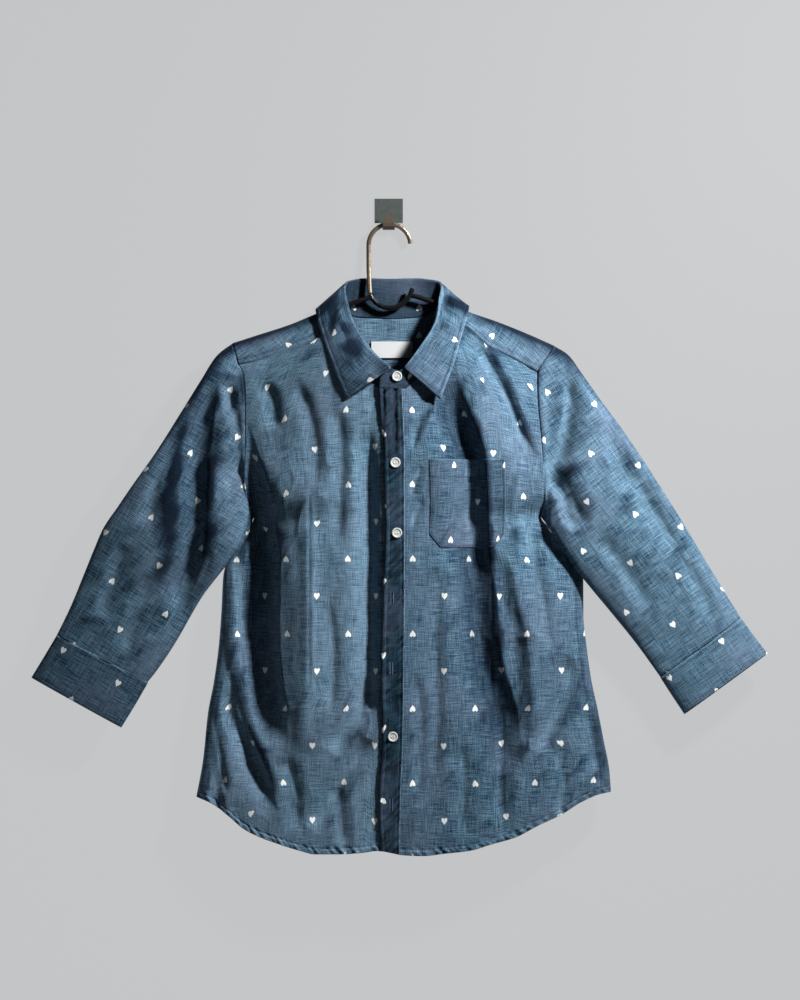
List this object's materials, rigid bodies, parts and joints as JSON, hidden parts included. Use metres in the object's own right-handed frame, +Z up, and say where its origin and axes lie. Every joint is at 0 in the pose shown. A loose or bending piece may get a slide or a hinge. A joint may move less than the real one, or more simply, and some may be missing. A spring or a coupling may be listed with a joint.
{
  "type": "button-front shirt on a wire hanger with wall hook",
  "caption": "Chambray shirt with collar, placket, chest pocket and cuffed three-quarter sleeves, hung flat on a wire hanger over a small wall hook.",
  "frame": {"origin": "middle of the wall hook plate's back face, on the wall", "axes": "+X to the viewer's right, +Y into the wall, +Z up; the shirt's front faces -Y"},
  "size_m": [0.8838, 0.0769, 0.7885],
  "materials": {
    "chambray": "slubby blue and white yarn-dyed plain weave with a small white heart print",
    "buttons": "pearly white",
    "label": "bare white woven ribbon",
    "plated_wire": "worn nickel plate",
    "coated_wire": "black dipped coating",
    "galvanised_sheet": "dull grey-green zinc"
  },
  "bodies": {
    "root": {"front_left": "chambray", "front_right": "chambray", "placket": "chambray", "pocket": "chambray", "back": "chambray", "yoke": "chambray", "collar_stand": "chambray", "collar_leaf": "chambray", "sleeve_left": "chambray", "sleeve_right": "chambray", "cuff_left": "chambray", "cuff_right": "chambray", "button_stand": "buttons", "button_1": "buttons", "button_2": "buttons", "button_5": "buttons", "neck_label": "label", "hanger_hook": "plated_wire", "hanger_arms": "coated_wire", "wall_hook": "galvanised_sheet"}
  },
  "joints": []
}
